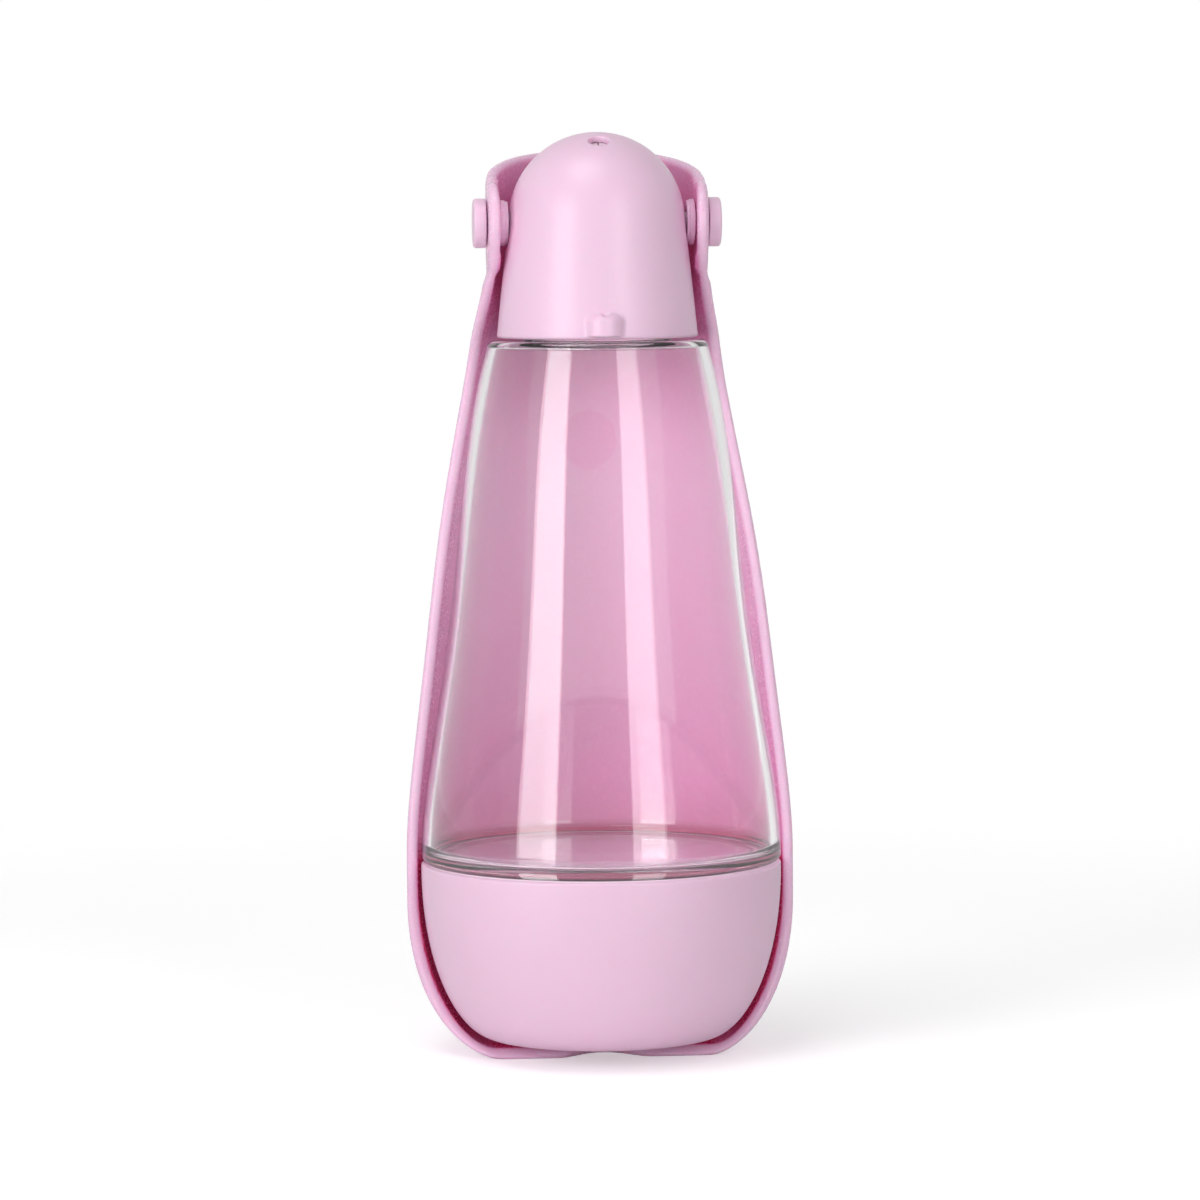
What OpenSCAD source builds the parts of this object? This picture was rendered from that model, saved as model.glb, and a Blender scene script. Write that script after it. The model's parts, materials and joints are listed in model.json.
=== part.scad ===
// Dog travel bottle: a clear water bottle with a dome cap, a food cup below it,
// and a drinking trough that swings on two pins from behind the bottle to above the cap.
// Millimetres. Z is the bottle's axis, -Y is the front, and the object stands on z = 0.

/* [Bottle] */
// Height of the joint between food cup and bottle above the standing surface
joint_z = 47; // [42:0.5:56]
// Height of the clear bottle from that joint to its shoulder
bottle_h = 125.4; // [100:0.2:150]
// Radius of the bottle at the joint
bottle_r = 43.4; // [40:0.1:47]
// Radius of the bottle at the shoulder
shoulder_r = 26.2; // [25:0.1:29]
// Wall of the clear bottle
bottle_wall = 2.2; // [1.6:0.1:2.8]
// Radius of the bottle's rounded lower edge
bottle_edge = 1.6; // [0.6:0.1:2]
// Radius of the rounded shoulder
shoulder_edge = 1.6; // [1:0.1:3]
// Thickness of the clear floor that is welded into the bottle
floor_t = 2.2; // [1.6:0.1:3]

/* [Neck] */
// Outer radius of the neck that the cap locks on
neck_r = 17.2; // [16:0.1:17.6]
// Wall of the neck
neck_wall = 2; // [1.5:0.1:3]
// Height of the neck above the shoulder
neck_h = 14; // [13:0.5:16]

/* [Cap] */
// Gap between the shoulder and the cap's lower edge
cap_gap = 0.6; // [0.4:0.1:2]
// Height of the cap
cap_h = 49; // [46:0.5:54]
// Radius of the cap's dome
dome_r = 21.1; // [20.8:0.1:22.5]
// Widening angle of the cap's side below the dome
cap_draft = 6; // [5:0.5:7]
// Wall of the cap
cap_wall = 1.8; // [1.4:0.1:2]
// Radius of the cap's rounded lower edge
cap_edge = 0.7; // [0.3:0.1:0.8]
// Wall of the sleeve inside the cap
liner_wall = 1.3; // [1:0.1:1.5]
// Thickness of the disc that closes the sleeve
liner_disc_t = 2; // [1.5:0.1:3]
// Thickness of the seal on the neck
neck_seal_t = 1.5; // [1:0.1:2.5]
// Half width of the nub on the cap's front
nub_r = 4.8; // [3:0.1:6]
// Height of the nub
nub_h = 5.3; // [4:0.1:6.5]
// How far the nub stands out of the cap
nub_out = 2.4; // [1.5:0.1:3]

/* [Outlet] */
// Diameter of the water outlet in the dome
outlet_d = 4.6; // [3:0.1:6]
// Width of the outlet's chamfer
outlet_chamfer = 0.5; // [0.2:0.1:0.8]
// Tilt of the outlet from the top of the dome towards the front
outlet_tilt = 25; // [15:1:30]
// Radius of the silicone valve behind the outlet
valve_r = 4.5; // [4:0.1:5.5]
// Thickness of the valve's rim
valve_t = 2.8; // [2:0.1:4]
// Thickness of the valve's slit membrane
valve_skin = 0.8; // [0.5:0.1:1.2]
// Bore radius of the tube that leads to the valve
feed_r = 2.8; // [2:0.1:3.2]

/* [Bayonet locks] */
// Number of lugs round the neck and round the skirt
lug_count = 3; // [2:1:3]
// Angle that each lug spans
lug_span = 46; // [30:1:50]
// Angle that the cap or cup turns to unlock
unlock_turn = 60; // [55:1:60]
// How far the lock lifts the cap or drops the cup over that turn
unlock_travel = 0.9; // [0.6:0.1:1]
// How far a lug stands out of its wall
lug_out = 1.4; // [1:0.1:1.6]
// Height of a lug at its tip
lug_tip = 1.4; // [1:0.1:2]
// Height of a lug at its wall
lug_root = 2.4; // [1.8:0.1:3]

/* [Pivots] */
// Height of the pivot axis above the cap's lower edge
pivot_h = 27.4; // [26:0.1:29]
// Gap between dome and ear, where the washer sits
ear_gap = 2.3; // [1.8:0.1:3]
// Thickness of the trough's flat ears
ear_t = 3.2; // [2.5:0.1:4]
// Radius of the ears round the pivot
ear_r = 9.6; // [8:0.1:10.5]
// Radius of the pin's button head
head_r = 5.9; // [5:0.1:7]
// Thickness of the button head
head_t = 3; // [2.5:0.1:4.5]
// Rounding of the button head's rim
head_edge = 0.7; // [0.3:0.1:1]
// Radius of the journal that the ear turns on
journal_r = 3; // [2.6:0.1:3.6]
// Radius of the shank that is pressed into the cap
shank_r = 2.4; // [1.8:0.1:2.5]
// Depth of the shank in the cap
shank_l = 7; // [5:0.5:9]
// Radius of the washer between cap and ear
washer_r = 5.5; // [5:0.1:6]

/* [Trough] */
// Wall of the trough
trough_wall = 2.7; // [2:0.1:3]
// Thickness of the trough's flat foot
foot_t = 2.6; // [2.2:0.1:3]
// Least gap between bottle and trough
trough_gap = 0.8; // [0.6:0.1:1.2]
// Extra gap half way up the bottle
trough_belly = 1.5; // [0:0.1:3]
// Extra gap at the shoulder, where the trough flares below its hood
throat_flare = 1.2; // [0:0.1:1.5]
// Gap between the hood and the cap's side when the trough is swung over
hood_gap = 1; // [0.8:0.1:2]
// Height of the hood's top edge above the pivot axis
hood_up = 17.8; // [15:0.1:19]
// How far behind the axis the rim runs beside the cup and the lower bottle
rim_side = 1; // [0.5:0.5:4]
// How far behind the axis the rim runs below the ears
rim_back = 8.5; // [5:0.5:10]
// How far in front of the axis the trough's foot reaches
foot_front = 9.5; // [8:0.5:12]
// Radius of the trough's flat underside
foot_r = 26; // [24:0.5:27]
// Depth of the notch in the front edge of the foot
notch_depth = 8; // [5:0.1:8.5]
// Half width of that notch
notch_half = 12; // [9:0.5:14]
// Radius of the round shallow mark inside the trough's back
mark_r = 7.5; // [4:0.5:10]
// Depth of that mark
mark_depth = 0.4; // [0.2:0.1:0.8]
// Height of that mark above the bottle's joint
mark_up = 100; // [60:1:110]

/* [Food cup] */
// Gap between the trough's floor and the cup
foot_gap = 2; // [1.9:0.1:2.5]
// Wall of the food cup
cup_wall = 2.2; // [1.6:0.1:2.6]
// Radius of the cup's flat underside
cup_foot_r = 27; // [24:0.5:29]
// Height of the bottle's skirt that the cup locks on
skirt_h = 9.5; // [9:0.5:12]
// Wall of the skirt
skirt_wall = 2; // [1.5:0.1:2.5]
// Section radius of the cup's sealing ring
cup_seal_r = 0.85; // [0.7:0.01:0.9]

/* [Hidden] */
$fn = 96;
steps = 24;        // segments in a long curve
arc_steps = 8;     // segments in a small rounding
eps = 0.01;
seat = 0.05;       // clearance between faces that seat on each other
run = 0.05;        // radial clearance of a part that turns in or on another
part_gap = 0.3;    // gap between cup and bottle, and between lugs and the wall they pass
lug_play = 0.15;   // play between the flanks of two engaged lugs
lug_sunk = 0.5;    // how deep a lug is rooted in its wall
neck_bevel = 0.4;  // bevel on the neck's mouth
boss_wall = 1.6;   // wall of the bosses inside the cap
liner_low = 1.2;   // height of the sleeve's flange above the cap's lower edge
flange_t = 1.6;    // thickness of that flange
nub_edge = 2;      // rounding of the nub's top
nub_groove = 0.6;  // radius of the groove across the nub's top
valve_rim = 1.4;   // wall of the valve's rim
slit_w = 0.3;      // width of the valve's crossed slits
rim_edge = 0.6;    // rounding of the cup's rim
ear_lean = 35;     // angle below the pivot's level where the rim runs into the ear
ear_reach = 2;     // how far the flat ear runs into the curved wall round it
throat_h = 14;     // height over which the trough draws in above the shoulder
throat_lean = 1.7; // how far its side still leans in on the way
weld_r = 2.5;      // fillet of the floor's upturned edge
weld_lip = 0.3;    // width of that edge's top
foot_ease = 7;     // how far the trough's foot runs on, nearly level, beyond its flat
foot_rise = 11;    // height above which the trough's wall bends upright
foot_top = 0.8;    // where the wall is upright, as a share of the joint's height
hug_rise = 16;     // the same two for its inside, which follows the cup
hug_top = 0.9;
cup_ease = 6.5;    // the same two for the food cup
cup_rise = 14.5;

pink = [0.93, 0.75, 0.87];
satin_pink = [0.95, 0.80, 0.90];
clear = [0.88, 0.92, 0.95, 0.35];
silicone = [0.96, 0.94, 0.95];

shoulder_z = joint_z + bottle_h;
neck_top = shoulder_z + neck_h;
cap_z = shoulder_z + cap_gap;
cap_top = cap_z + cap_h;
dome_z = cap_top - dome_r;
pivot_z = cap_z + pivot_h;
disc_z = neck_top + neck_seal_t + 2 * seat;

// Radius of the cap's side at a height, for a wall surface that lies inset inside it
function cap_side(z, inset = 0) =
    (dome_r - inset) * cos(cap_draft)
    + (dome_z + (dome_r - inset) * sin(cap_draft) - z) * tan(cap_draft);

liner_in = neck_r + lug_out + part_gap;
liner_r = liner_in + liner_wall;

ear_in = dome_r + ear_gap;
ear_out = ear_in + ear_t;
washer_in = dome_r + part_gap;
head_out = ear_out + seat + head_t;

hood_top = pivot_z + hood_up;
hood_r = cap_side(pivot_z - hood_up) + hood_gap + trough_wall;
trough_r = bottle_r + trough_gap + trough_wall;
ear_base = pivot_z - ear_r * 0.75;
neck_low_z = shoulder_z - 1.5 * ear_r;     // where the rim is furthest back
throat_r = shoulder_r + trough_gap + throat_flare + trough_wall;

cup_foot_z = foot_t + foot_gap;
cup_in = bottle_r - cup_wall;
skirt_r = cup_in - 2 * (cup_seal_r + seat);
skirt_z = joint_z - skirt_h;
lug_lead = unlock_travel * 360 / unlock_turn;
lug_rise = lug_lead * lug_span / 360;
neck_lug_z = neck_top - neck_seal_t - lug_root - lug_rise;
skirt_lug_z = skirt_z + lug_sunk + (lug_root + lug_rise) / 2;
// Height from one lug to the lug that hooks on it, as both taper alike
lug_step = lug_tip + (lug_root - lug_tip) * part_gap / (2 * lug_out) + (lug_root - lug_tip) / 2;

// Point at t on the Bezier curve through the control points (or numbers) in p
function bezier(p, t) =
    len(p) == 1 ? p[0]
    : bezier([for (i = [0:len(p) - 2]) p[i] * (1 - t) + p[i + 1] * t], t);
function curve(p, n) = [for (i = [0:n]) bezier(p, i / n)];
function arc(c, r, a0, a1, n = arc_steps) =
    [for (i = [0:n]) let (a = a0 + (a1 - a0) * i / n) [c[0] + r * cos(a), c[1] + r * sin(a)]];
function reversed(p) = [for (i = [len(p) - 1:-1:0]) p[i]];

// The bottle's side swells above the joint, draws in and rounds over below the shoulder:
// how much of the difference in radius is left at even steps of height
bottle_form = [1, 1.02, 0.44, 0.48, 0.4, 0];
function bottle_side(t) = shoulder_r + (bottle_r - shoulder_r) * bezier(bottle_form, t);
function bottle_curve(inset, t0, t1) =
    [for (i = [0:steps]) let (t = t0 + (t1 - t0) * i / steps) [bottle_side(t) - inset, joint_z + bottle_h * t]];

// One bayonet lug: a tapered ridge that climbs along the lock's lead
module lug(r_wall, r_tip, root_h, tip_h, mid_z) {
    n = 6;
    ring = 4;
    points = [
        for (i = [0:n])
            let (a = lug_span * (i / n - 0.5), z = mid_z + lug_lead * a / 360)
            for (c = [[r_wall, -root_h], [r_tip, -tip_h], [r_tip, tip_h], [r_wall, root_h]])
                [c[0] * cos(a), c[0] * sin(a), z + c[1] / 2]
    ];
    flip = r_tip > r_wall;
    sides = [
        for (i = [0:n - 1])
            for (k = [0:ring - 1])
                let (a = i * ring + k, b = i * ring + (k + 1) % ring)
                for (f = [[a, a + ring, b + ring], [a, b + ring, b]])
                    flip ? reversed(f) : f
    ];
    last = n * ring;
    ends = [[0, 1, 2], [0, 2, 3], [last, last + 2, last + 1], [last, last + 3, last + 2]];
    polyhedron(points, concat(sides, [for (f = ends) flip ? reversed(f) : f]));
}

module lugs(r_wall, r_tip, mid_z) {
    sunk = (r_tip > r_wall ? -lug_sunk : lug_sunk);
    root_h = lug_root + (lug_root - lug_tip) * lug_sunk / lug_out;
    for (i = [0:lug_count - 1])
        rotate([0, 0, i * 360 / lug_count])
            lug(r_wall + sunk, r_tip, root_h, lug_tip, mid_z);
}

module bottle_body() {
    edge_t = bottle_edge / bottle_h;
    shoulder_t = 1 - shoulder_edge / bottle_h;
    low_r = bottle_side(edge_t);
    high_r = bottle_side(shoulder_t);
    outer = concat(
        arc([low_r - bottle_edge, joint_z + bottle_edge], bottle_edge, -90, 0),
        bottle_curve(0, edge_t, shoulder_t),
        arc([high_r - shoulder_edge, shoulder_z - shoulder_edge], shoulder_edge, 0, 90),
        [[neck_r, shoulder_z], [neck_r, neck_top - neck_bevel], [neck_r - neck_bevel, neck_top]]
    );
    roof_t = 1 - (bottle_wall + shoulder_edge) / bottle_h;
    inner = concat(
        [[neck_r - neck_wall, neck_top], [neck_r - neck_wall, shoulder_z - bottle_wall]],
        arc([bottle_side(roof_t) - bottle_wall - shoulder_edge, joint_z + bottle_h * roof_t],
            shoulder_edge, 90, 0),
        reversed(bottle_curve(bottle_wall, floor_t / bottle_h, roof_t)),
        [[bottle_r - bottle_wall, joint_z]]
    );
    color(clear) {
        rotate_extrude() polygon(concat(outer, inner));
        lugs(neck_r, neck_r + lug_out, neck_lug_z);
    }
}

module bottle_floor() {
    edge_r = bottle_r - bottle_wall - seat;
    fillet_z = joint_z + floor_t + weld_r;
    profile = concat(
        [[0, joint_z], [skirt_r - skirt_wall, joint_z], [skirt_r - skirt_wall, skirt_z],
         [skirt_r, skirt_z], [skirt_r, joint_z], [edge_r, joint_z], [edge_r, fillet_z]],
        arc([edge_r - weld_lip - weld_r, fillet_z], weld_r, 0, -90),
        [[0, joint_z + floor_t]]
    );
    color(clear) {
        rotate_extrude() polygon(profile);
        lugs(skirt_r, skirt_r + lug_out, skirt_lug_z);
    }
}

// Section of the cap from its axis to its surface, for a surface that lies inset inside it
function cap_section(inset, low_z) = concat(
    arc([0, dome_z], dome_r - inset, 90, cap_draft, steps),
    [[cap_side(low_z, inset), low_z]]
);

module cap_solid(inset, low_z) {
    rotate_extrude() polygon(concat([[0, low_z]], cap_section(inset, low_z)));
}

module on_outlet() {
    translate([0, 0, dome_z]) rotate([outlet_tilt, 0, 0]) children();
}

module each_pivot(side) {
    translate([0, 0, pivot_z]) rotate([0, side * 90, 0]) children();
}

valve_top = dome_r - cap_wall - seat;     // along the outlet's axis, from the dome's centre
feed_top = valve_top - valve_t - seat;
valve_boss_r = valve_r + seat + boss_wall;
pin_boss_r = shank_r + boss_wall;

module nub() {
    profile = concat(
        [[0, 0], [nub_r, 0]],
        arc([nub_r - nub_edge, nub_h - nub_edge], nub_edge, 0, 90),
        [[0, nub_h]]
    );
    nub_z = cap_z + cap_edge;
    nub_y = cap_side(nub_z + nub_h / 2) + nub_out - nub_r;
    difference() {
        translate([0, -nub_y, nub_z]) rotate_extrude() polygon(profile);
        translate([0, -nub_y, nub_z + nub_h]) rotate([90, 0, 0]) cylinder(r = nub_groove, h = 2 * nub_r);
    }
}

module cap_shell() {
    low_r = cap_side(cap_z + cap_edge) - cap_edge;
    outer = concat(
        arc([0, dome_z], dome_r, 90, cap_draft, steps),
        arc([low_r, cap_z + cap_edge], cap_edge, 0, -90),
        [[0, cap_z]]
    );
    color(satin_pink)
    difference() {
        union() {
            rotate_extrude() polygon(outer);
            nub();
        }
        difference() {
            cap_solid(cap_wall, cap_z - 1);
            on_outlet() translate([0, 0, feed_top - boss_wall]) cylinder(r = valve_boss_r, h = dome_r);
            for (side = [-1, 1])
                each_pivot(side)
                    translate([0, 0, washer_in - shank_l - boss_wall]) cylinder(r = pin_boss_r, h = dome_r);
        }
        on_outlet() {
            cylinder(r = outlet_d / 2, h = dome_r + 1);
            cylinder(r = valve_r + seat, h = valve_top + seat);
            translate([0, 0, dome_r - outlet_chamfer])
                cylinder(r1 = outlet_d / 2, r2 = outlet_d / 2 + 2 * outlet_chamfer, h = 2 * outlet_chamfer);
        }
        for (side = [-1, 1])
            each_pivot(side) {
                translate([0, 0, washer_in - seat]) cylinder(r = washer_r + part_gap, h = dome_r);
                translate([0, 0, washer_in - shank_l - seat]) cylinder(r = shank_r, h = dome_r);
            }
    }
}

module cap_liner() {
    low_z = cap_z + liner_low;
    flange_low = cap_side(low_z, cap_wall) - seat;
    flange_high = cap_side(low_z + flange_t, cap_wall) - seat;
    sleeve = [
        [liner_in, low_z], [flange_low, low_z], [flange_high, low_z + flange_t], [liner_r, low_z + flange_t],
        [liner_r, disc_z + liner_disc_t], [0, disc_z + liner_disc_t], [0, disc_z], [liner_in, disc_z]
    ];
    color(silicone) {
        difference() {
            union() {
                rotate_extrude() polygon(sleeve);
                difference() {
                    on_outlet() translate([0, 0, -dome_r]) cylinder(r = valve_r - seat, h = feed_top + dome_r);
                    translate([-dome_r, -dome_r, 0]) cube([2 * dome_r, 2 * dome_r, disc_z + eps]);
                }
            }
            on_outlet() translate([0, 0, -dome_r]) cylinder(r = feed_r, h = 2 * dome_r);
        }
        lugs(liner_in, liner_in - lug_out, neck_lug_z - lug_step - lug_play);
    }
}

module neck_seal() {
    color(silicone)
    translate([0, 0, neck_top + seat])
    difference() {
        cylinder(r = neck_r, h = neck_seal_t);
        translate([0, 0, -1]) cylinder(r = neck_r - neck_wall, h = neck_seal_t + 2);
    }
}

module outlet_valve() {
    bore_r = valve_r - valve_rim;
    slit_l = 1.8 * bore_r;
    color(silicone)
    on_outlet()
    translate([0, 0, valve_top - valve_t])
    difference() {
        cylinder(r = valve_r, h = valve_t);
        translate([0, 0, -1]) cylinder(r = bore_r, h = valve_t - valve_skin + 1);
        for (a = [0, 90])
            rotate([0, 0, a]) translate([-slit_l / 2, -slit_w / 2, -1]) cube([slit_l, slit_w, valve_t + 2]);
    }
}

module pivot_pin(side) {
    head_in = ear_out + seat;
    profile = concat(
        [[0, washer_in - shank_l], [shank_r, washer_in - shank_l], [shank_r, washer_in + seat]],
        [[journal_r, washer_in + seat], [journal_r, head_in], [head_r, head_in]],
        arc([head_r - head_edge, head_out - head_edge], head_edge, 0, 90),
        [[0, head_out]]
    );
    color(satin_pink) each_pivot(side) rotate_extrude() polygon(profile);
}

module pivot_washer(side) {
    color(pink)
    each_pivot(side)
    difference() {
        translate([0, 0, washer_in]) cylinder(r = washer_r, h = ear_in - washer_in - seat);
        cylinder(r = journal_r + seat, h = 2 * dome_r);
    }
}

module pivot_pin_left() { pivot_pin(-1); }
module pivot_pin_right() { pivot_pin(1); }
module pivot_washer_left() { pivot_washer(-1); }
module pivot_washer_right() { pivot_washer(1); }

// Gap between bottle and trough, t of the way up the bottle
function trough_space(t) = trough_gap + trough_belly * pow(sin(180 * t), 2) + throat_flare * pow(t, 5);

// Section of the trough's wall surface, inset from its outside: foot, belly, throat and hood
function trough_section(inset) =
    let (
        share = inset / trough_wall, in_r = trough_r - trough_wall,
        foot = [
            [foot_r, 0], [foot_r + foot_ease, 0], [trough_r, foot_rise], [trough_r, foot_top * joint_z]
        ],
        hug = [
            [cup_foot_r, foot_t], [cup_foot_r + cup_ease + trough_gap, foot_t],
            [in_r, foot_t + hug_rise], [in_r, hug_top * joint_z]
        ]
    )
    concat(
    [[0, share * foot_t]],
    curve(foot * (1 - share) + hug * share, steps),
    [for (i = [0:steps - 1])
        let (t = i / steps)
        [bottle_side(t) + trough_space(t) + trough_wall - inset, joint_z + bottle_h * t]],
    curve([
        [throat_r - inset, shoulder_z], [throat_r - throat_lean - inset, shoulder_z + throat_h / 2],
        [hood_r - inset, shoulder_z + throat_h * 0.8], [hood_r - inset, ear_base]
    ], arc_steps),
    [[hood_r - inset, cap_top + 2]]
);

// The trough's rim seen from the side, closed behind it: X is the object's Y, Y its height
module rim_outline() {
    back = trough_r + 1;
    polygon(concat(
        curve([
            [-foot_front, 0], [-foot_front / 2, foot_rise / 2], [rim_side, foot_rise], [rim_side, joint_z]
        ], steps),
        curve([
            [rim_side, joint_z + 0.4 * bottle_h], [rim_side, joint_z + 0.6 * bottle_h],
            [rim_back, joint_z + 0.7 * bottle_h], [rim_back, neck_low_z]
        ], arc_steps),
        curve([
            [rim_back, neck_low_z], [rim_back, shoulder_z + 2],
            [0, ear_base - ear_r], [-ear_r * cos(ear_lean), pivot_z - ear_r * sin(ear_lean)]
        ], steps),
        arc([0, pivot_z], ear_r, 180 + ear_lean, 90, steps),
        curve([[0, pivot_z + ear_r], [ear_r, pivot_z + 1.5 * ear_r], [hood_r, hood_top]], arc_steps),
        [[back, hood_top], [back, -1], [-foot_front, -1]]
    ));
}

module along_x(half) {
    rotate([90, 0, 90]) translate([0, 0, -half]) linear_extrude(2 * half) children();
}

module trough() {
    half = trough_r + 1;
    notch = [for (x = [-notch_half:notch_half / arc_steps:notch_half])
        [x, notch_depth * pow(cos(90 * x / notch_half), 2) - foot_front]];
    color(pink)
    difference() {
        union() {
            intersection() {
                rotate_extrude() polygon(concat(
                    trough_section(0), reversed(trough_section(trough_wall))
                ));
                along_x(half) rim_outline();
            }
            intersection() {
                along_x(ear_out) rim_outline();
                for (side = [-1, 1])
                    each_pivot(side) translate([0, 0, ear_in]) cylinder(r = ear_r + ear_reach, h = ear_t + 1);
            }
        }
        for (side = [-1, 1])
            each_pivot(side) {
                cylinder(r = journal_r + run, h = half);
                translate([0, 0, ear_out]) cylinder(r = ear_r + 2 * ear_reach, h = half);
            }
        translate([-ear_in, -2 * ear_r, ear_base]) cube([2 * ear_in, 2 * ear_r, 3 * ear_r]);
        translate([0, 0, -1])
            linear_extrude(foot_t + 2)
            polygon(concat([[-notch_half, -half]], notch, [[notch_half, -half]]));
        intersection() {
            translate([0, 0, joint_z + mark_up]) rotate([-90, 0, 0]) cylinder(r = mark_r, h = half);
            rotate_extrude() polygon(concat(trough_section(trough_wall - mark_depth), [[0, cap_top + 2]]));
        }
    }
}

// Section of the cup's surface, inset from its outside
function cup_section(inset) = concat(
    [[0, cup_foot_z + inset]],
    curve([
        [cup_foot_r - inset / 2, cup_foot_z + inset],
        [cup_foot_r + cup_ease - inset / 2, cup_foot_z + inset],
        [bottle_r - inset, cup_foot_z + cup_rise + inset / 2],
        [bottle_r - inset, joint_z - 2 * rim_edge - part_gap]
    ], steps)
);

module food_cup() {
    rim_z = joint_z - part_gap;
    outer = concat(
        cup_section(0),
        arc([bottle_r - rim_edge, rim_z - rim_edge], rim_edge, 0, 90)
    );
    inner = concat([[cup_in, rim_z]], reversed(cup_section(cup_wall)));
    color(satin_pink) {
        rotate_extrude() polygon(concat(outer, inner));
        lugs(cup_in, cup_in - lug_out, skirt_lug_z + lug_step + lug_play);
    }
}

module cup_seal() {
    color(silicone)
    rotate_extrude()
    translate([skirt_r + seat + cup_seal_r, joint_z - cup_seal_r - seat])
    circle(r = cup_seal_r);
}

bottle_body();
bottle_floor();
cap_shell();
cap_liner();
neck_seal();
outlet_valve();
pivot_pin_left();
pivot_pin_right();
pivot_washer_left();
pivot_washer_right();
trough();
food_cup();
cup_seal();
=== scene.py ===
import json
import math

import bmesh
import bpy
import numpy as np
from mathutils import Matrix, Vector


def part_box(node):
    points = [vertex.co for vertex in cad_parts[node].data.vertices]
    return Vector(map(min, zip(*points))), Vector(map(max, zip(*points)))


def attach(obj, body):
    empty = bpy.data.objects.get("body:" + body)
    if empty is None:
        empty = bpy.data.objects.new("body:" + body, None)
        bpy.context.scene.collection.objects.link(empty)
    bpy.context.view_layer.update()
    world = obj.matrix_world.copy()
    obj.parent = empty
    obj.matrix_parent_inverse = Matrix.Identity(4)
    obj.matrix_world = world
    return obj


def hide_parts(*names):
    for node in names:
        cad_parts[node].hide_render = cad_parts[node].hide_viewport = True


# A dog's travel bottle: clear body, dome cap, food cup and a swinging trough behind it.
# All sizes below are millimetres, repeated from the part's own measures. Front is -Y.

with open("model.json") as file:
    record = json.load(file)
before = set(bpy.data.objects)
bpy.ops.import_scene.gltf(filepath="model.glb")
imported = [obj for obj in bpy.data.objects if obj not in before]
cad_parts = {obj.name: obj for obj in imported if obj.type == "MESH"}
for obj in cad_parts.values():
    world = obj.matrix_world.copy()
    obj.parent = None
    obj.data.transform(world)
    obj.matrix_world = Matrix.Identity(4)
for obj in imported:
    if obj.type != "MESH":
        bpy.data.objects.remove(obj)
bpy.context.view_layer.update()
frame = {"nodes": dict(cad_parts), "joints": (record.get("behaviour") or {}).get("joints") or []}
mm = 0.001
past = 20      # outlines run on this far past the shape they cut
print("frame loaded:", len(frame["nodes"]), "nodes")


def boxOf(node):
    low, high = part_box(node)
    return low / mm, high / mm


jointZ = boxOf("bottle_body")[0].z          # where the cup meets the bottle
capBottom = boxOf("cap_shell")[0].z
capTop = boxOf("cap_shell")[1].z
pivotZ = next(j for j in frame["joints"] if j["name"] == "trough_swing")["pos_m"][2] / mm

bottle = {
    "radius": 43.4, "shoulderRadius": 26.2, "height": 125.4, "wall": 2.2,
    "form": [1, 1.02, 0.44, 0.48, 0.4, 0],  # share of the difference in radius left, by height
    "lowerEdge": 1.6, "shoulderEdge": 1.6,
    "neckRadius": 17.2, "neckWall": 2.0, "neckHeight": 14.0, "neckEdge": 0.5,
    "neckFillet": 1.0, "innerShoulderEdge": 1.0, "roof": 1.4, "lugDrop": 1.5,
    "innerFoot": 0.6, "rows": 90, "segments": 256,
}
shoulderZ = jointZ + bottle["height"]


def blended(values, t):
    # the Bezier curve of some values or points, at t from 0 to 1
    rows = list(values)
    while len(rows) > 1:
        rows = [a * (1 - t) + b * t for a, b in zip(rows, rows[1:])]
    return rows[0]


def curve(points, count):
    # points along a Bezier curve
    t = np.linspace(0, 1, count + 1)[:, None]
    return blended([np.tile(np.asarray(p, float), (count + 1, 1)) for p in points], t)


def arc(centre, radius, start, end, count=10):
    # points of a round stretch, from one angle to another in degrees
    angle = np.radians(np.linspace(start, end, count + 1))
    return np.column_stack([centre[0] + radius * np.cos(angle), centre[1] + radius * np.sin(angle)])


def bottleSide(z):
    # outer radius of the clear bottle at heights z
    t = (np.asarray(z, float) - jointZ) / bottle["height"]
    share = blended([np.full_like(t, v) for v in bottle["form"]], t)
    return bottle["shoulderRadius"] + (bottle["radius"] - bottle["shoulderRadius"]) * share


def rounded(points, radii, count=6):
    # a polyline whose corners are rounded over, each with its own radius
    out = []
    total = len(points)
    for i, (p, r) in enumerate(zip(points, radii)):
        p = np.asarray(p, float)
        if r <= 0:
            out.append(p)
            continue
        before = np.asarray(points[i - 1], float) - p
        after = np.asarray(points[(i + 1) % total], float) - p
        before /= np.linalg.norm(before)
        after /= np.linalg.norm(after)
        half = math.acos(max(-1, min(1, float(before @ after)))) / 2
        reach = r / math.tan(half)
        centre = p + (before + after) / np.linalg.norm(before + after) * r / math.sin(half)
        first, last = p + before * reach - centre, p + after * reach - centre
        a0 = math.atan2(first[1], first[0])
        swing = (math.atan2(last[1], last[0]) - a0 + math.pi) % (2 * math.pi) - math.pi
        for k in range(count + 1):
            a = a0 + swing * k / count
            out.append(centre + r * np.array([math.cos(a), math.sin(a)]))
    return np.array(out)


def newObject(name, vertices, faces):
    mesh = bpy.data.meshes.new(name)
    mesh.from_pydata([tuple(v) for v in np.asarray(vertices) * mm], [], faces)
    mesh.update()
    obj = bpy.data.objects.new(name, mesh)
    bpy.context.scene.collection.objects.link(obj)
    return obj


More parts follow.
